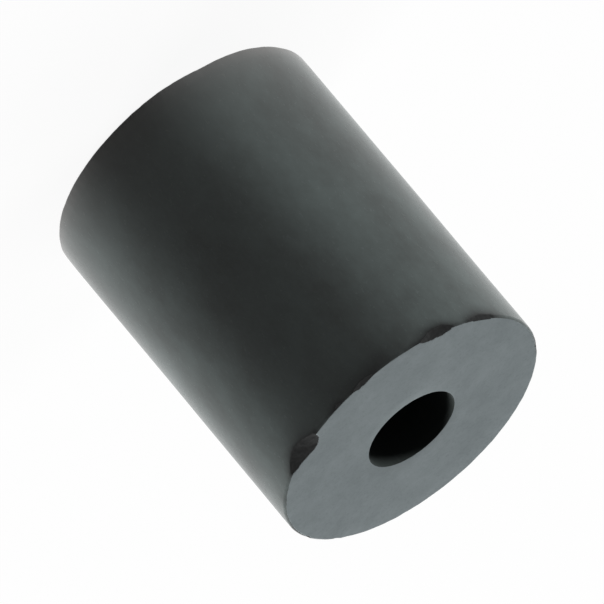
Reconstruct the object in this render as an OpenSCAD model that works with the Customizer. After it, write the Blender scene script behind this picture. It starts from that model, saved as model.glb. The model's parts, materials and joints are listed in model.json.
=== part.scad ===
// Ferrite bead: one pressed and fired ceramic tube that slips over a wire.
// Millimetres. The bead stands on its lower end face, with its bore along +Z,
// and the origin is at the centre of that face.

/* [Tube] */
// Outside diameter of the tube
outer_d = 6.0; // [4.5:0.1:12]
// Diameter of the bore that runs right through
bore_d = 2.0; // [0.8:0.1:3.4]
// Length over both ground end faces
bead_l = 7.6; // [3:0.1:20]

/* [Edges] */
// Radius of the outer rim at each end
rim_r = 0.06; // [0.05:0.01:0.2]
// Radius of the bore's edge at each end
bore_edge_r = 0.02; // [0.02:0.01:0.15]

/* [Chips in the upper rim] */
// Length along the rim of each dent of the large chip
large_chip_l = 1.05; // [0.8:0.05:1.6]
// Depth under the rounded rim of each dent of the large chip
large_chip_depth = 0.17; // [0.1:0.01:0.22]
// Length along the rim of each dent of the middle chip
middle_chip_l = 0.9; // [0.6:0.05:1.3]
// Depth under the rounded rim of each dent of the middle chip
middle_chip_depth = 0.09; // [0.06:0.01:0.18]
// Length along the rim of each small nick
nick_l = 0.8; // [0.4:0.05:1.2]
// Depth under the rounded rim of each small nick
nick_depth = 0.04; // [0.02:0.01:0.1]

/* [Hidden] */
$fn = 96;
outer_r = outer_d / 2;
bore_r = bore_d / 2;
wall = outer_r - bore_r;

// Dents of each kind: place round the rim, in degrees from +X, and lean from the side towards the end face
large_chip_dents = [[308, 55], [312, 35]];
middle_chip_dents = [[237, 30], [239, 55]];
nick_dents = [[216, 40], [273, 65]];

// Radius of the ball that leaves a dent of this length and depth
function dent_r(length, depth) = (length * length / 4 + depth * depth) / (2 * depth);

// What rounding takes off a square corner at the origin, with the wall towards -X and -Y
module corner_waste(r) {
    translate([-r, -r]) difference() {
        square(2 * r);
        circle(r);
    }
}

// Half section of the tube's wall, from the bore out to the side
module wall_section() {
    difference() {
        translate([bore_r, 0]) square([wall, bead_l]);
        for (end = [0, 1])
            translate([0, end * bead_l]) mirror([0, 1 - end]) {
                translate([outer_r, 0]) corner_waste(rim_r);
                translate([bore_r, 0]) mirror([1, 0]) corner_waste(bore_edge_r);
            }
    }
}

// Balls that dent the upper rim, each set out from the centre of the rim's rounding
module broken_out(dents, length, depth) {
    ball_r = dent_r(length, depth);
    for (dent = dents)
        rotate([0, 0, dent[0]]) translate([outer_r - rim_r, 0, bead_l - rim_r])
            rotate([0, -dent[1], 0]) translate([rim_r + ball_r - depth, 0, 0]) sphere(ball_r);
}

module ferrite_bead() {
    color("#4a4f4f") difference() {
        rotate_extrude() wall_section();
        broken_out(large_chip_dents, large_chip_l, large_chip_depth);
        broken_out(middle_chip_dents, middle_chip_l, middle_chip_depth);
        broken_out(nick_dents, nick_l, nick_depth);
    }
}

ferrite_bead();
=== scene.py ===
"""Looks of one ferrite bead: a pressed and fired ceramic tube that stands on its end on a pale floor.

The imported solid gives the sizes. One closed mesh stands for it, with rounded rims, shell-shaped breaks
in the upper rim and the slight unevenness of fired ceramic, and four finishes dress it. Lengths are in
metres, apart from those whose names end in _mm or _px.
"""

import json
import logging
import math
import random
from dataclasses import dataclass
from enum import Enum

import bpy
import numpy as np
from mathutils import Matrix, Vector, noise


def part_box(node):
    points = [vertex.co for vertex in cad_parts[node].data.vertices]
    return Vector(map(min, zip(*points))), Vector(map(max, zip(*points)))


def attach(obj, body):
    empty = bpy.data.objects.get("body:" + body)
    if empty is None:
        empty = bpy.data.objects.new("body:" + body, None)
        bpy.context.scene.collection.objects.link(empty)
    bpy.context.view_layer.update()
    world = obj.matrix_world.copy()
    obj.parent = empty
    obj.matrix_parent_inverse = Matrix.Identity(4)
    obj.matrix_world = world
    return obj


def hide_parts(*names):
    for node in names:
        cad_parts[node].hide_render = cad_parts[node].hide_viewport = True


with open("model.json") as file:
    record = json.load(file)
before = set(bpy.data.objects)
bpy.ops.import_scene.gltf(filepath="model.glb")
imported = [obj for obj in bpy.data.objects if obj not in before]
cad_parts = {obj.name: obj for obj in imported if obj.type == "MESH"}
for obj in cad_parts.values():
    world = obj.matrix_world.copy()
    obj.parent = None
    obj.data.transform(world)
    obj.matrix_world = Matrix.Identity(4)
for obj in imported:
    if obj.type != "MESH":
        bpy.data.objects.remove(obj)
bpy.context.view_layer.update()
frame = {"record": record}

LOG = logging.getLogger("ferrite_bead")
BEAD_NODE = "ferrite_bead"
BEAD_PIECE = BEAD_NODE + "_fired"
BORE_MOUNT = "bore"
BODY = "root"
MM = 0.001
WHITE = "#ffffff"

# Name of the surface map that the mesh itself brings
SURFACE_MAP = "OFBake"

# Share of each of two square directions in the one halfway between them
HALFWAY = math.sqrt(0.5)

# Inputs and output of a Mix node for colours, by number because its kinds share their names
COLOUR_A = 6
COLOUR_B = 7
COLOUR_OUT = 2

# Noise that clouds a finish, and the finer noise of its grain
CLOUD_NOISE = {"Detail": 6.0, "Roughness": 0.75}
GRAIN_NOISE = {"Detail": 2.0, "Roughness": 0.6}

# Stretches of the noise that go from shade to light, from plain to flecked and from glossy to dull
CLOUD_SPAN = {"From Min": 0.32, "From Max": 0.68}
FLECK_SPAN = {"From Min": 0.56, "From Max": 0.74}
GLOSS_SPAN = {"From Min": 0.3, "From Max": 0.7}

# Further than any point of the bead is from a break
FAR = 1.0

# Most painted shade on skin that isn't broken out
MOST_SHADE = 0.99

# A face of the mesh is broken where more than these of its four corners are
HALF_OF_CORNERS = 2

# Share of the surface map's width that the tube's side takes
MAP_WIDTH = 0.98

# A node's input or output, a tree of nodes, a place in a plane, and the height and length of waves
Socket = bpy.types.NodeSocket
Tree = bpy.types.NodeTree
Place = tuple[float, float]
Waves = tuple[tuple[float, float], ...]


class Surface(Enum):
    """The bead's surfaces by how they were made; the value is the mesh's material index."""

    SKIN = 0
    GROUND = 1
    BORE = 2
    BROKEN = 3


class PaintedLightAndShade(Enum):
    """Painted light and shade on the skin; the value names the mesh's own measure of it."""

    # Painted shade along the upper rim and round the breaks
    CRUMBLED = "crumbled"
    # Painted light that pales the skin towards the lower end, where the floor shades it
    FOOT = "kiln_foot"


class Chart(Enum):
    """Patches that the bead's surface is laid out in; the value is the patch's corner in the map."""

    SIDE = (0.01, 0.01)
    UPPER_FACE = (0.01, 0.43)
    LOWER_FACE = (0.33, 0.43)
    BORE = (0.65, 0.43)


class Facing(Enum):
    """Ways that the wall faces in its half section, in degrees from outwards to upwards."""

    DOWN = -90
    OUT = 0
    UP = 90
    IN = 180


def linear(srgb_hex: str) -> tuple[float, float, float, float]:
    """Turns a colour as written into the linear values that shaders take.

    Args:
        srgb_hex: Colour as #rrggbb in sRGB.

    Returns:
        Linear red, green and blue, with an alpha of 1.
    """
    parts = [int(srgb_hex[i : i + 2], 16) / 255 for i in (1, 3, 5)]
    red, green, blue = (c / 12.92 if c <= 0.04045 else ((c + 0.055) / 1.055) ** 2.4 for c in parts)
    return (red, green, blue, 1.0)


def per_metre(size_mm: float) -> float:
    """Texture scale whose features are about size_mm across."""
    return 1 / (size_mm * MM)


def towards(turn_deg: float, rise_deg: float) -> Vector:
    """Turns a direction into a unit vector.

    Args:
        turn_deg: Direction on the level, from +X towards +Y.
        rise_deg: Height above the level.

    Returns:
        The unit vector.
    """
    turn, rise = math.radians(turn_deg), math.radians(rise_deg)
    return Vector((math.cos(turn) * math.cos(rise), math.sin(turn) * math.cos(rise), math.sin(rise)))


def uneven(place: Vector, waves: Waves) -> float:
    """Adds up smooth waves of several lengths.

    Args:
        place: Point at which they are wanted.
        waves: Height and length of each kind of wave.

    Returns:
        Their sum, which is about 0 on average.
    """
    return sum(height * noise.noise(place / length) for height, length in waves)


def add_node(
    tree: Tree,
    kind: str,
    settings: dict[str | int, object] | None = None,
    links: dict[str | int, Socket] | None = None,
) -> bpy.types.Node:
    """Adds one node to a tree.

    Args:
        tree: Tree that takes the node.
        kind: Type name of the node, after the ShaderNode that each begins with.
        settings: Values by the name of a property, or by the name or number of an input.
        links: Outputs of other nodes by the name or number of the input that they feed.

    Returns:
        The new node.
    """
    node = tree.nodes.new("ShaderNode" + kind)
    for name, value in (settings or {}).items():
        if isinstance(name, str) and hasattr(node, name):
            setattr(node, name, value)
        else:
            node.inputs[name].default_value = value
    for name, output in (links or {}).items():
        tree.links.new(output, node.inputs[name])
    return node


def seen_rays(tree: Tree) -> Socket:
    """Adds the nodes that tell the rays of the eye and of reflections from those that carry light.

    Args:
        tree: Tree that takes the nodes.

    Returns:
        Output that is 1 for rays of the camera, of gloss and of transmission, and 0 for others.
    """
    path = add_node(tree, "LightPath").outputs
    seen = path["Is Camera Ray"]
    for ray in ("Is Glossy Ray", "Is Transmission Ray"):
        seen = add_node(tree, "Math", {"operation": "MAXIMUM"}, {0: seen, 1: path[ray]}).outputs[0]
    return seen


@dataclass(frozen=True)
class FerriteFinish:
    """One finish of the ferrite: a clouded ground colour, a fine grain over it and a low relief.

    Attributes:
        name: Name of the material.
        shade: Darker colour of the clouds.
        light: Lighter colour of the clouds.
        fleck: Colour of the grains or pores that stand out.
        fleck_share: How strongly those grains or pores show, from 0 to 1.
        cloud_mm: Size of the largest clouds.
        grain_mm: Size of the grain.
        relief_mm: Height of the grain.
        roughness: Lowest and highest roughness.
        specular: Specular level, where 0.5 is a polished surface; fine pores leave far less.
        ior: Index of refraction, that of soft ferrite.
        squeeze: Factors on the pattern's coordinates; under 1 draws it out along that axis.
        offset_mm: Shift of the pattern, which sets where its clouds fall.
        worn: Colours of painted light and shade that the finish turns to where the mesh marks it.
    """

    name: str
    shade: str
    light: str
    fleck: str
    fleck_share: float
    cloud_mm: float
    grain_mm: float
    relief_mm: float
    roughness: tuple[float, float]
    specular: float
    ior: float = 2.3
    squeeze: tuple[float, float, float] = (1.0, 1.0, 1.0)
    offset_mm: tuple[float, float, float] = (0.0, 0.0, 0.0)
    worn: tuple[tuple[PaintedLightAndShade, str], ...] = ()

    def patterns(self, tree: Tree) -> tuple[Socket, Socket]:
        """Adds the two patterns of the finish.

        Args:
            tree: Tree that takes the nodes.

        Returns:
            Outputs of the clouds and of the grain.
        """
        place = add_node(tree, "TexCoord").outputs["Object"]
        drawn = add_node(
            tree,
            "Mapping",
            {"Location": [part * MM for part in self.offset_mm], "Scale": self.squeeze},
            {"Vector": place},
        ).outputs["Vector"]
        clouds, grain = (
            add_node(tree, "TexNoise", kind | {"Scale": per_metre(size_mm)}, {"Vector": drawn})
            for kind, size_mm in ((CLOUD_NOISE, self.cloud_mm), (GRAIN_NOISE, self.grain_mm))
        )
        return clouds.outputs["Fac"], grain.outputs["Fac"]

    def colour(self, tree: Tree, clouds: Socket, grain: Socket) -> Socket:
        """Adds the nodes that colour the finish.

        Args:
            tree: Tree that takes the nodes.
            clouds: Output of the clouds.
            grain: Output of the grain.

        Returns:
            Output of the colour.
        """
        tone = add_node(tree, "MapRange", CLOUD_SPAN, {"Value": clouds}).outputs[0]
        colour = add_node(
            tree,
            "Mix",
            {"data_type": "RGBA", COLOUR_A: linear(self.shade), COLOUR_B: linear(self.light)},
            {0: tone},
        ).outputs[COLOUR_OUT]
        flecks = add_node(
            tree,
            "MapRange",
            FLECK_SPAN | {"To Max": self.fleck_share},
            {"Value": grain},
        ).outputs[0]
        layers = [(flecks, self.fleck)]
        # Painted light and shade where the mesh marks it
        for wear, painted_colour in self.worn:
            marks = add_node(tree, "Attribute", {"attribute_name": wear.value}).outputs["Fac"]
            layers.append((marks, painted_colour))
        for share, over in layers:
            colour = add_node(
                tree,
                "Mix",
                {"data_type": "RGBA", COLOUR_B: linear(over)},
                {0: share, COLOUR_A: colour},
            ).outputs[COLOUR_OUT]
        return colour

    def material(self) -> bpy.types.Material:
        """Builds the finish as a node material.

        Returns:
            The material.
        """
        material = bpy.data.materials.new(self.name)
        material.use_nodes = True
        tree = material.node_tree
        tree.nodes.clear()
        clouds, grain = self.patterns(tree)
        glossiest, dullest = self.roughness
        gloss = add_node(
            tree,
            "MapRange",
            GLOSS_SPAN | {"To Min": glossiest, "To Max": dullest},
            {"Value": grain},
        ).outputs[0]
        relief = add_node(
            tree,
            "Bump",
            {"Strength": 1.0, "Distance": self.relief_mm * MM},
            {"Height": grain},
        ).outputs["Normal"]
        surface = add_node(
            tree,
            "BsdfPrincipled",
            {"IOR": self.ior, "Specular IOR Level": self.specular},
            {"Base Color": self.colour(tree, clouds, grain), "Roughness": gloss, "Normal": relief},
        ).outputs["BSDF"]
        add_node(tree, "OutputMaterial", None, {"Surface": surface})
        return material


# Soft ferrite, pressed and fired without a glaze: grains about 0.01 mm across have fused to a dark
# grey skin with a green cast and a satin sheen, clouded along the axis where the powder was pressed
# less evenly. Painted light makes it paler and less green towards the lower end, and painted shade
# darkens it along the upper rim and round the breaks. The grain is drawn at 0.07 mm so that it shows.
FIRED_SKIN = FerriteFinish(
    name="soft_ferrite_fired_satin",
    shade="#3c4140",
    light="#525b5a",
    fleck="#5b6261",
    fleck_share=0.06,
    cloud_mm=2.6,
    grain_mm=0.07,
    relief_mm=0.0004,
    roughness=(0.2, 0.28),
    specular=0.039,
    squeeze=(1.0, 1.0, 0.6),
    offset_mm=(-13.6, 10.2, 8.6),
    # Painted light towards the lower end, and painted shade along the upper rim and round the breaks
    worn=((PaintedLightAndShade.FOOT, "#727170"), (PaintedLightAndShade.CRUMBLED, "#1a1b1b")),
)

# Soft ferrite ground flat on a wheel: the cut grains scatter the light, so the face is a mid grey with
# a cool cast and hardly any sheen, and open pores show as dark specks. Pores about 0.01 mm across are
# drawn at 0.06 mm so that they show.
GROUND_FACE = FerriteFinish(
    name="soft_ferrite_ground_matt",
    shade="#6e7678",
    light="#7b8385",
    fleck="#60676a",
    fleck_share=0.3,
    cloud_mm=0.8,
    grain_mm=0.06,
    relief_mm=0.0006,
    roughness=(0.55, 0.66),
    specular=0.039,
)

# Soft ferrite fired in the bore, where the press pin dragged it along the axis: dull, with fine lines
# along Z, and darker than the side with painted shade. The lines are drawn 0.06 mm wide so that they
# show.
BORE_WALL = FerriteFinish(
    name="soft_ferrite_fired_dull_painted_shade",
    shade="#2a2e2d",
    light="#2f3332",
    fleck="#373b3a",
    fleck_share=0.4,
    cloud_mm=0.8,
    grain_mm=0.06,
    relief_mm=0.002,
    roughness=(0.66, 0.76),
    specular=0.01,
    squeeze=(1.0, 1.0, 0.08),
)

# Soft ferrite where it broke: the break runs through the grains and traps the light, so it is dark, and
# painted shade in the chips takes it to nearly black, with the weak sheen of a rough surface. The grain
# is drawn at 0.05 mm so that it shows.
BROKEN_FERRITE = FerriteFinish(
    name="soft_ferrite_broken_rough",
    shade="#101111",
    light="#161717",
    fleck="#222424",
    fleck_share=0.4,
    cloud_mm=0.25,
    grain_mm=0.05,
    relief_mm=0.002,
    roughness=(0.6, 0.75),
    specular=0.072,
)

FINISHES = {
    Surface.SKIN: FIRED_SKIN,
    Surface.GROUND: GROUND_FACE,
    Surface.BORE: BORE_WALL,
    Surface.BROKEN: BROKEN_FERRITE,
}


@dataclass(frozen=True)
class RimBreak:
    """A shell-shaped break in the upper rim, as the dent of a ball.

    Attributes:
        turn_deg: Place round the rim, from +X.
        length_mm: Length along the rim.
        depth_mm: Depth under the rounded rim.
        lean_deg: Way that the dent faces, from the side towards the end face; 45 is halfway.
    """

    turn_deg: float
    length_mm: float
    depth_mm: float
    lean_deg: float = 45.0

    def ball_radius(self) -> float:
        """Radius of the ball that leaves a dent of this length and depth."""
        return (self.length_mm**2 / 4 + self.depth_mm**2) / (2 * self.depth_mm) * MM

    def facing(self) -> np.ndarray:
        """Unit vector that the dent faces along, out of the rim."""
        return np.array(towards(self.turn_deg, self.lean_deg))


# The solid's chips and nicks: two dents for the large chip, two for the middle one, one for each nick
RIM_BREAKS = (
    RimBreak(turn_deg=307.5, length_mm=0.85, depth_mm=0.12, lean_deg=70),
    RimBreak(turn_deg=310.5, length_mm=1.25, depth_mm=0.135, lean_deg=42),
    RimBreak(turn_deg=238, length_mm=0.8, depth_mm=0.09, lean_deg=53),
    RimBreak(turn_deg=241.5, length_mm=0.55, depth_mm=0.016, lean_deg=72),
    RimBreak(turn_deg=216, length_mm=0.95, depth_mm=0.045, lean_deg=42),
    RimBreak(turn_deg=273, length_mm=0.5, depth_mm=0.045, lean_deg=65),
)


@dataclass(frozen=True)
class RimStretch:
    """A stretch of a rim that has more than the rest, and most in its middle: wear on the lower rim,
    painted shade on the upper.

    Attributes:
        turn_deg: Place of its middle round the rim, from +X.
        fade_deg: Turn from its middle at which about a third is left of the amount.
        lost: Amount in its middle, as a share of painted shade on the upper rim and as a depth of wear
            on the lower.
    """

    turn_deg: float
    fade_deg: float
    lost: float

    def along(self, turn: np.ndarray) -> np.ndarray:
        """Says how much there is at each turn.

        Args:
            turn: Turns in radians.

        Returns:
            Amount at the rim itself.
        """
        away_deg = (np.degrees(turn) - self.turn_deg + 180) % 360 - 180
        return self.lost * np.exp(-((away_deg / self.fade_deg) ** 2))


# Painted shade along the upper rim: between the chips, and under the large one
SHADED_STRETCHES = (
    RimStretch(turn_deg=270, fade_deg=15, lost=0.85),
    RimStretch(turn_deg=307, fade_deg=9, lost=0.85),
)

# Deeper wear of the lower rim
WORN_STRETCH = RimStretch(turn_deg=243, fade_deg=12, lost=0.033 * MM)


@dataclass(frozen=True)
class Ring:
    """One ring of points round the tube.

    Attributes:
        radius: Distance from the axis.
        height: Height above the lower face.
        slope_deg: Way that the wall faces there, in the terms of Facing.
        chart: Patch of the surface map that the wall is in from here to the next ring.
    """

    radius: float
    height: float
    slope_deg: float
    chart: Chart


def straight(chart: Chart, facing: Facing, start: Place, end: Place, gap: float) -> list[Ring]:
    """Lays rings along a straight stretch of the wall's half section.

    Args:
        chart: Patch of the surface map that the stretch is in.
        facing: Way that the stretch faces.
        start: Radius and height at its start, where the first ring is.
        end: Radius and height at its end, which gets no ring.
        gap: Distance of the rings, about.

    Returns:
        The rings.
    """
    steps = round(math.dist(start, end) / gap)
    out, up = (end[0] - start[0]) / steps, (end[1] - start[1]) / steps
    return [Ring(start[0] + k * out, start[1] + k * up, facing.value, chart) for k in range(steps)]


def quarter(chart: Chart, facing: Facing, centre: Place, radius: float, gap: float) -> list[Ring]:
    """Lays rings round a rounded edge of the wall's half section.

    Args:
        chart: Patch of the surface map that the edge is in.
        facing: Way that the edge faces at its start.
        centre: Radius and height of the centre of the rounding.
        radius: Radius of the rounding.
        gap: Distance of the rings, about.

    Returns:
        The rings, but for the one at the end.
    """
    steps = round(math.pi / 2 * radius / gap)
    slopes = [facing.value + 90 * k / steps for k in range(steps)]
    turns = [math.radians(slope) for slope in slopes]
    return [
        Ring(centre[0] + radius * math.cos(turn), centre[1] + radius * math.sin(turn), slope, chart)
        for slope, turn in zip(slopes, turns)
    ]


@dataclass
class FerriteBead:
    """The bead: one tube of fired ferrite with rounded rims and a broken upper rim.

    Attributes:
        outer_r: Outside radius.
        bore_r: Radius of the bore.
        length: Length over the end faces.
        rim_r: Radius of the outer rims.
        bore_edge_r: Radius of the bore's edges.
        columns: Points round the tube.
        crowd_deg: Turn at which those points lie closest, in the middle of the breaks.
        crowd: How much closer they lie there, from 0 for evenly to under 1.
        ring_gap: Distance of the rings of points on plain stretches.
        fine_gap: Distance of the rings beside the upper rim.
        round_gap: Distance of the rings round the rims and edges.
        fine: Width of the band on each side of the upper rim where the rings lie close.
        side_in: How far the side lies inside a true cylinder, on average.
        side_waves: Height and length of the waves in the side.
        rim_wear: How far the rims are worn, on average.
        wear_waves: Height and length of the worn spots.
        wear_reach: Distance from the rim at which about a third is left of the wear.
        wear_end: Distance at which nothing is left of it.
        nick_count: Small nicks in the upper rim, beside the breaks.
        nick_seed: Seed of the draw that places them.
        nick_length_mm: Shortest and longest nick.
        nick_depth_mm: Shallowest and deepest nick.
        blend: Distance over which breaks run into each other.
        break_reach: Furthest that a break may reach from the rim.
        break_waves: Height and length of the bumps on the breaks.
        dig_steps: Steps in which the breaks are dug.
        shade_reach: How far the painted shade reaches down from the upper rim and round the breaks.
        rim_fade: How fast that fades down from the rim; 1 is evenly.
        break_fade: How fast it fades round a break.
        rim_shade_share: Share of painted shade all along the upper rim, on average.
        stretch_reach: Distance from the rim at which a third is left of a shaded stretch.
        shade_waves: How much the painted shade varies, and over which lengths.
        end_light_half: Height at which half is left of the painted light at the lower end.
        ground_slope_deg: Slope of the rims from which they are ground.
        bore_slope_deg: Slope of the bore's edges from which they are the bore's.
        ragged_waves: How many degrees those limits vary, and over which length.
        sharp_deg: Angle from which an edge of the mesh shows as sharp.
    """

    outer_r: float
    bore_r: float
    length: float
    rim_r: float = 0.06 * MM
    bore_edge_r: float = 0.02 * MM
    columns: int = 600
    crowd_deg: float = 275.0
    crowd: float = 0.55
    ring_gap: float = 0.25 * MM
    fine_gap: float = 0.0165 * MM
    round_gap: float = 0.0067 * MM
    fine: float = 0.45 * MM
    side_in: float = 0.006 * MM
    side_waves: Waves = ((0.006 * MM, 2.4 * MM),)
    rim_wear: float = 0.006 * MM
    wear_waves: Waves = ((0.006 * MM, 0.3 * MM), (0.003 * MM, 0.09 * MM))
    wear_reach: float = 0.2 * MM
    wear_end: float = 0.6 * MM
    nick_count: int = 10
    nick_seed: int = 11
    nick_length_mm: tuple[float, float] = (0.15, 0.35)
    nick_depth_mm: tuple[float, float] = (0.008, 0.02)
    blend: float = 0.06 * MM
    break_reach: float = 0.9 * MM
    break_waves: Waves = ((0.022 * MM, 0.22 * MM), (0.009 * MM, 0.07 * MM))
    dig_steps: int = 16
    shade_reach: float = 0.32 * MM
    rim_fade: float = 1.5
    break_fade: float = 2.8
    rim_shade_share: float = 0.15
    stretch_reach: float = 0.4 * MM
    shade_waves: Waves = ((0.3, 0.5 * MM), (0.15, 0.15 * MM))
    end_light_half: float = 0.25 * MM
    ground_slope_deg: float = 68.0
    bore_slope_deg: float = 104.0
    ragged_waves: Waves = ((8.0, 0.15 * MM),)
    sharp_deg: float = 38.0

    def outline(self) -> list[Ring]:
        """Lays out the wall's half section, from the lower face out, up and in to the bore.

        Returns:
            The rings, of which the last leads back to the first.
        """
        side, bore, top, edge_low = self.outer_r, self.bore_r, self.length, self.bore_edge_r
        rim_in, rim_low, rim_top = side - self.rim_r, self.rim_r, top - self.rim_r
        edge_out, edge_top = bore + edge_low, top - edge_low
        fine_in, fine_low = side - self.fine, top - self.fine
        plain, fine, rounded = self.ring_gap, self.fine_gap, self.round_gap
        return [
            *straight(Chart.LOWER_FACE, Facing.DOWN, (edge_out, 0), (rim_in, 0), plain),
            *quarter(Chart.SIDE, Facing.DOWN, (rim_in, rim_low), self.rim_r, rounded),
            *straight(Chart.SIDE, Facing.OUT, (side, rim_low), (side, fine_low), plain),
            *straight(Chart.SIDE, Facing.OUT, (side, fine_low), (side, rim_top), fine),
            *quarter(Chart.SIDE, Facing.OUT, (rim_in, rim_top), self.rim_r, rounded),
            *straight(Chart.UPPER_FACE, Facing.UP, (rim_in, top), (fine_in, top), fine),
            *straight(Chart.UPPER_FACE, Facing.UP, (fine_in, top), (edge_out, top), plain),
            *quarter(Chart.BORE, Facing.UP, (edge_out, edge_top), self.bore_edge_r, rounded),
            *straight(Chart.BORE, Facing.IN, (bore, edge_top), (bore, edge_low), plain),
            *quarter(Chart.BORE, Facing.IN, (edge_out, edge_low), self.bore_edge_r, rounded),
        ]

    def turns(self) -> np.ndarray:
        """Turns of the points round the tube, with the first one again at the end."""
        even = np.linspace(0, math.tau, self.columns + 1)
        return even - self.crowd * np.sin(even - math.radians(self.crowd_deg))

    def turned(self, rings: list[Ring]) -> np.ndarray:
        """Turns the half section about the axis.

        Args:
            rings: Rings of the half section.

        Returns:
            Points by ring, column and axis.
        """
        turn = self.turns()[:-1]
        points = np.empty((len(rings), self.columns, 3))
        for place, ring in zip(points, rings):
            place[:, 0] = ring.radius * np.cos(turn)
            place[:, 1] = ring.radius * np.sin(turn)
            place[:, 2] = ring.height
        return points

    def worn(self, points: np.ndarray) -> np.ndarray:
        """Takes the tube a little out of round and wears its rims.

        Args:
            points: Points of the true tube, by ring, column and axis.

        Returns:
            The points moved.
        """
        moved = points.copy()
        deeper = WORN_STRETCH.along(self.turns()[:-1]).tolist()
        for row, column in np.ndindex(points.shape[:2]):
            x, y, z = points[row, column]
            radius = math.hypot(x, y)
            from_side = self.outer_r - radius
            if from_side > self.wear_end:
                continue
            out = Vector((x / radius, y / radius, 0.0))
            edge = out * self.outer_r + Vector((0.0, 0.0, z))
            inward = self.side_in + uneven(edge, self.side_waves)
            shift = -inward * (1 - from_side / self.wear_end) * out
            upper = z > self.length / 2
            from_rim = math.hypot(from_side, self.length - z if upper else z)
            if from_rim < self.wear_end:
                wear = self.rim_wear + uneven(edge, self.wear_waves)
                if not upper:
                    wear += deeper[column]
                wear *= math.exp(-((from_rim / self.wear_reach) ** 2))
                along = Vector((0.0, 0.0, -1.0 if upper else 1.0))
                shift += wear * (along - out) * HALFWAY
            moved[row, column] += shift
        return moved

    def nicks(self) -> list[RimBreak]:
        """Draws the small nicks that the upper rim has besides, the same ones each time.

        Returns:
            The nicks.
        """
        draw = random.Random(self.nick_seed).uniform
        return [
            RimBreak(draw(0, 360), draw(*self.nick_length_mm), draw(*self.nick_depth_mm))
            for _ in range(self.nick_count)
        ]

    def gap(self, points: np.ndarray, flaws: list[RimBreak]) -> np.ndarray:
        """Measures how far points are from the hollow that the breaks make together.

        Args:
            points: Points, one in each row.
            flaws: The breaks, which run into each other where they lie close.

        Returns:
            Distance of each point, under 0 inside the hollow.
        """
        gap = np.full(len(points), FAR)
        for flaw in flaws:
            facing, ball_r = flaw.facing(), flaw.ball_radius()
            out = facing * (1, 1, 0) / math.hypot(facing[0], facing[1])
            corner = out * (self.outer_r - self.rim_r) + (0, 0, self.length - self.rim_r)
            centre = corner + facing * (self.rim_r + ball_r - flaw.depth_mm * MM)
            from_ball = np.linalg.norm(points - centre, axis=1) - ball_r
            # Smooth lesser of the two distances, so that the dents run into each other
            share = np.clip(0.5 + 0.5 * (gap - from_ball) / self.blend, 0, 1)
            gap += (from_ball - gap) * share - self.blend * share * (1 - share)
        return gap

    def break_rim(self, points: np.ndarray) -> np.ndarray:
        """Breaks the chips out of the upper rim, in place.

        Args:
            points: Points by ring, column and axis, which are moved.

        Returns:
            Painted shade at each point: 1 in a break, and less the further it is from one.
        """
        radius = np.linalg.norm(points[:, :, :2], axis=2)
        low, inner = self.length - self.break_reach, self.outer_r - self.break_reach
        near = (radius > inner) & (points[:, :, 2] > low)
        place = points[near]
        out = place[:, :2] / radius[near][:, None]
        dig = -np.column_stack([out, np.ones(len(out))]) * HALFWAY
        rough = np.array([uneven(Vector(p), self.break_waves) for p in place])
        flaws = [*RIM_BREAKS, *self.nicks()]
        gap = self.gap(place, flaws) - rough
        fading = np.clip(1 - gap / self.shade_reach, 0, MOST_SHADE) ** self.break_fade
        crumbled = np.zeros(points.shape[:2])
        crumbled[near] = np.where(gap < 0, 1, fading)
        for _ in range(self.dig_steps):
            place += dig * np.clip(rough - self.gap(place, flaws), 0, None)[:, None]
        points[near] = place
        return crumbled

    def shaded_rim(self, points: np.ndarray) -> np.ndarray:
        """Says how much painted shade lies along the upper rim, more in some places than in others.

        Args:
            points: Points by ring, column and axis.

        Returns:
            Share of painted shade at each point.
        """
        varied = np.array([[uneven(Vector(p), self.shade_waves) for p in row] for row in points])
        under_rim = self.length - points[:, :, 2]
        fading = np.clip(1 - under_rim / self.shade_reach, 0, 1) ** self.rim_fade
        crumbled = fading * (self.rim_shade_share + varied)
        below = np.exp(-((under_rim / self.stretch_reach) ** 2)) * (1 + varied)
        for stretch in SHADED_STRETCHES:
            crumbled = np.maximum(crumbled, below * stretch.along(self.turns()[:-1]))
        return np.clip(crumbled, 0, MOST_SHADE)

    def surfaces(self, rings: list[Ring], points: np.ndarray, broken: np.ndarray) -> np.ndarray:
        """Says how each face of the mesh was made.

        Args:
            rings: Rings of the half section.
            points: Points of the finished tube, by ring, column and axis.
            broken: Which points lie in a break.

        Returns:
            Material index of the face from each ring and column to the next.
        """
        ragged = np.array([[uneven(Vector(p), self.ragged_waves) for p in row] for row in points])
        tilt = np.array([abs((ring.slope_deg + 180) % 360 - 180) for ring in rings])
        slope = tilt[:, None] + ragged
        made = np.full(slope.shape, Surface.SKIN.value)
        made[slope > self.ground_slope_deg] = Surface.GROUND.value
        made[slope > self.bore_slope_deg] = Surface.BORE.value
        ahead = np.roll(broken, -1, axis=0)
        corners = broken.astype(int) + ahead + np.roll(broken, -1, axis=1) + np.roll(ahead, -1, axis=1)
        made[corners > HALF_OF_CORNERS] = Surface.BROKEN.value
        return made

    def flat(self, chart: Chart, along: float, radius: float, turn: np.ndarray) -> np.ndarray:
        """Lays a ring of points out flat.

        Args:
            chart: Patch of the surface map that the ring is in.
            along: Distance along the wall from the patch's first ring.
            radius: Distance of the ring from the axis.
            turn: Turns of the points.

        Returns:
            Map coordinates of the points.
        """
        if chart in (Chart.SIDE, Chart.BORE):
            round_r = self.outer_r if chart is Chart.SIDE else self.bore_r
            places = ((turn - self.turns()[0]) * round_r, np.full_like(turn, along))
        else:
            across = radius if chart is Chart.UPPER_FACE else -radius
            places = (self.outer_r + across * np.cos(turn), self.outer_r + radius * np.sin(turn))
        return np.stack(places, 1) * MAP_WIDTH / (math.tau * self.outer_r) + chart.value

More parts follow.
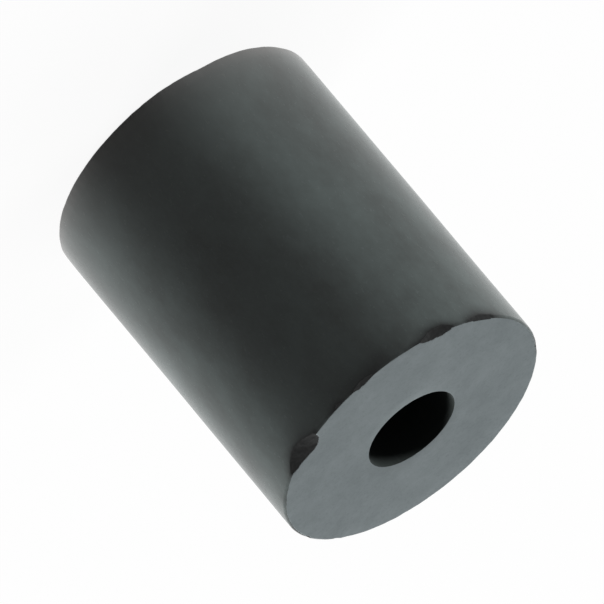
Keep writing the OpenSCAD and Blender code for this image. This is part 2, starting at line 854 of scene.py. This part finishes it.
    def lay_out(self, rings: list[Ring]) -> np.ndarray:
        """Lays the surface out flat, one patch for each side of the tube.

        Args:
            rings: Rings of the half section.

        Returns:
            Map coordinates by ring, column and corner of the face.
        """
        turn = self.turns()
        along = dict.fromkeys(Chart, 0.0)
        places = np.empty((len(rings), self.columns, 4, 2))
        for place, ring, ahead in zip(places, rings, rings[1:] + rings[:1]):
            lower = self.flat(ring.chart, along[ring.chart], ring.radius, turn)
            along[ring.chart] += math.hypot(ahead.radius - ring.radius, ahead.height - ring.height)
            upper = self.flat(ring.chart, along[ring.chart], ahead.radius, turn)
            place[:] = np.stack([lower[:-1], lower[1:], upper[1:], upper[:-1]], 1)
        return places

    def mesh(self) -> bpy.types.Mesh:
        """Makes the bead's closed mesh and dresses it.

        Returns:
            The mesh, with its finishes, its wear, its painted light and shade and its surface map.
        """
        rings = self.outline()
        points = self.worn(self.turned(rings))
        # Painted shade along the upper rim and round the breaks, 1 in the breaks themselves
        crumbled = self.shaded_rim(points)
        crumbled = np.maximum(crumbled, self.break_rim(points))
        # Painted light that pales the skin towards the lower end, where the floor shades it
        end_light = self.end_light_half / (self.end_light_half + points[:, :, 2])
        here = np.arange(len(rings) * self.columns).reshape(len(rings), self.columns)
        ahead = np.roll(here, -1, axis=0)
        faces = np.stack([here, np.roll(here, -1, axis=1), np.roll(ahead, -1, axis=1), ahead], 2)
        mesh = bpy.data.meshes.new(BEAD_PIECE)
        mesh.from_pydata(points.reshape(-1, 3).tolist(), [], faces.reshape(-1, 4).tolist())
        for surface in Surface:
            mesh.materials.append(FINISHES[surface].material())
        made = self.surfaces(rings, points, crumbled == 1)
        mesh.polygons.foreach_set("material_index", made.ravel())
        for wear, share in ((PaintedLightAndShade.CRUMBLED, crumbled), (PaintedLightAndShade.FOOT, end_light)):
            mesh.attributes.new(wear.value, "FLOAT", "POINT").data.foreach_set("value", share.ravel())
        layer = mesh.uv_layers.new(name=SURFACE_MAP)
        layer.uv.foreach_set("vector", self.lay_out(rings).astype(np.float32).ravel())
        mesh.shade_smooth()
        mesh.set_sharp_from_angle(angle=math.radians(self.sharp_deg))
        return mesh

    def build(self) -> bpy.types.Object:
        """Stands the bead in the frame, where it replaces the solid.

        Returns:
            The bead.
        """
        bead = bpy.data.objects.new(BEAD_PIECE, self.mesh())
        bpy.context.scene.collection.objects.link(bead)
        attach(bead, BODY)
        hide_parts(BEAD_NODE)
        return bead


@dataclass(frozen=True)
class PaperFinish:
    """A matt finish of the floor, which is white to the eye and keeps the bead's shadow.

    Attributes:
        name: Name of the material.
        colour: Colour in which it throws light back on the bead.
        lift: Share of plain white in what the eye and reflections see; the rest keeps the shadow.
    """

    name: str
    colour: str
    lift: float

    def material(self) -> bpy.types.Material:
        """Builds the finish as a node material.

        Returns:
            The material.
        """
        material = bpy.data.materials.new(self.name)
        material.use_nodes = True
        tree = material.node_tree
        tree.nodes.clear()
        seen = seen_rays(tree)
        tone = add_node(
            tree,
            "Mix",
            {"data_type": "RGBA", COLOUR_A: linear(self.colour), COLOUR_B: linear(WHITE)},
            {0: seen},
        ).outputs[COLOUR_OUT]
        paper = add_node(tree, "BsdfDiffuse", None, {"Color": tone}).outputs[0]
        white = add_node(tree, "Emission", {"Color": linear(WHITE), "Strength": 1.0}).outputs[0]
        share = add_node(tree, "Math", {"operation": "MULTIPLY", 1: self.lift}, {0: seen}).outputs[0]
        mixed = add_node(tree, "MixShader", None, {0: share, 1: paper, 2: white}).outputs[0]
        add_node(tree, "OutputMaterial", None, {"Surface": mixed})
        return material


# Uncoated paper, rolled smooth: its fibres scatter light evenly, so it looks white and has no sheen
TABLE_PAPER = PaperFinish(name="table_paper_matt", colour="#a4a4a2", lift=0.92)


@dataclass(frozen=True)
class Lamp:
    """A soft lamp that faces the bead.

    Attributes:
        name: Name of the lamp.
        turn_deg: Direction of the lamp from the bead, from +X.
        rise_deg: Height of the lamp above the horizon.
        level: How bright a white surface that faces it looks, where 1 is white.
        size: Width and height of the lamp.
        distance: Distance from the bead.
    """

    name: str
    turn_deg: float
    rise_deg: float
    level: float
    size: tuple[float, float]
    distance: float = 0.6

    def hang(self, target: Vector) -> None:
        """Puts the lamp in its place.

        Args:
            target: Point that it faces.
        """
        way = towards(self.turn_deg, self.rise_deg)
        light = bpy.data.lights.new(self.name, "AREA")
        light.shape = "RECTANGLE"
        light.size, light.size_y = self.size
        # Power at which the irradiance on a surface that faces the lamp is pi times the level
        light.energy = self.level * (math.pi * self.distance) ** 2
        lamp = bpy.data.objects.new(self.name, light)
        lamp.location = target + way * self.distance
        lamp.rotation_euler = way.to_track_quat("Z", "Y").to_euler()
        lamp.visible_camera = False
        lamp.visible_glossy = False
        bpy.context.scene.collection.objects.link(lamp)


@dataclass
class Studio:
    """A pale table with soft lamps and the camera.

    Attributes:
        middle: Centre of the bead.
        paper: Finish of the floor.
        floor_half: Half the width of the floor.
        floor_drop: How far the floor lies under the bead, so that their faces don't share a plane.
        fill: Strength of the white light from all round.
        lamps: The lamps.
        photo_px: Width and height of the picture.
        focal_px: Focal length of the lens.
        px_per_mm: Scale of the picture at the bead's middle.
        middle_px: Place of the bead's middle in the picture, from its upper left corner.
        rise_deg: Height of the camera above the bead's horizon.
        roll_deg: Turn of the camera about its line of sight.
        clip: Nearest and furthest that the camera sees.
    """

    middle: Vector
    paper: PaperFinish = TABLE_PAPER
    floor_half: float = 3.0
    floor_drop: float = 0.002 * MM
    fill: float = 0.056
    lamps: tuple[Lamp, ...] = (
        Lamp("right_lamp", turn_deg=175, rise_deg=6, level=1.55, size=(0.3, 0.1)),
        Lamp("left_lamp", turn_deg=31, rise_deg=6, level=2.36, size=(0.3, 0.1)),
        Lamp("back_lamp", turn_deg=90, rise_deg=50, level=0.6, size=(0.5, 0.4)),
    )
    photo_px: int = 604
    focal_px: float = 20000.0
    px_per_mm: float = 51.77
    middle_px: Place = (297.5, 292.8)
    rise_deg: float = 25.75
    roll_deg: float = 140.07
    clip: tuple[float, float] = (0.01, 10.0)

    def lay_floor(self) -> bpy.types.Object:
        """Lays the pale floor that the bead stands on and that keeps its shadow.

        Returns:
            The floor.
        """
        half = self.floor_half
        corners = [(-half, -half, 0), (half, -half, 0), (half, half, 0), (-half, half, 0)]
        mesh = bpy.data.meshes.new("floor")
        mesh.from_pydata(corners, [], [(0, 1, 2, 3)])
        mesh.materials.append(self.paper.material())
        floor = bpy.data.objects.new("floor", mesh)
        floor.location.z = -self.floor_drop
        bpy.context.scene.collection.objects.link(floor)
        return floor

    def light_world(self) -> None:
        """Surrounds the table with a weak even light, which the eye and reflections see as white."""
        world = bpy.data.worlds.new("studio")
        world.use_nodes = True
        tree = world.node_tree
        tree.nodes.clear()
        fill, white = (
            add_node(tree, "Background", {"Color": linear(WHITE), "Strength": strength}).outputs[0]
            for strength in (self.fill, 1.0)
        )
        mixed = add_node(tree, "MixShader", None, {0: seen_rays(tree), 1: fill, 2: white}).outputs[0]
        add_node(tree, "OutputWorld", None, {"Surface": mixed})
        bpy.context.scene.world = world

    def place_camera(self) -> None:
        """Sets the camera up where the picture was taken from, turned about its sight as there."""
        rise, roll = math.radians(self.rise_deg), math.radians(self.roll_deg)
        back = Vector((0.0, -math.cos(rise), math.sin(rise)))
        level, upright = Vector((1.0, 0.0, 0.0)), Vector((0.0, math.sin(rise), math.cos(rise)))
        right = level * math.cos(roll) + upright * math.sin(roll)
        up = upright * math.cos(roll) - level * math.sin(roll)
        off_x, off_y = (p - self.photo_px / 2 for p in self.middle_px)
        aim = self.middle + (up * off_y - right * off_x) / self.px_per_mm * MM
        lens = bpy.data.cameras.new("camera")
        lens.lens = lens.sensor_width * self.focal_px / self.photo_px
        lens.clip_start, lens.clip_end = self.clip
        camera = bpy.data.objects.new("camera", lens)
        turned = Matrix((right, up, back)).transposed().to_4x4()
        stand = aim + back * self.focal_px / self.px_per_mm * MM
        camera.matrix_world = Matrix.Translation(stand) @ turned
        bpy.context.scene.collection.objects.link(camera)
        bpy.context.scene.camera = camera

    def build(self) -> bpy.types.Object:
        """Sets up the floor, the light and the camera.

        Returns:
            The floor.
        """
        floor = self.lay_floor()
        self.light_world()
        for lamp in self.lamps:
            lamp.hang(self.middle)
        self.place_camera()
        bpy.context.scene.view_settings.view_transform = "Standard"
        return floor


def main() -> None:
    """Builds the bead from the frame's sizes, then the studio, and logs a line about each."""
    logging.basicConfig(level=logging.INFO, format="%(name)s: %(message)s")
    low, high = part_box(BEAD_NODE)
    bore = next(mount for mount in frame["record"]["mounts"] if mount["name"] == BORE_MOUNT)
    bead = FerriteBead(
        outer_r=(high.x - low.x) / 2,
        bore_r=bore["dims"]["r_mm"] * MM,
        length=high.z - low.z,
    ).build()
    faces, finishes = len(bead.data.polygons), len(bead.data.materials)
    LOG.info("%s: %d faces in %d finishes", bead.name, faces, finishes)
    studio = Studio(middle=(low + high) / 2)
    floor = studio.build()
    LOG.info("%s: %g m wide, with %d lamps", floor.name, 2 * studio.floor_half, len(studio.lamps))


if __name__ == "__main__":
    main()
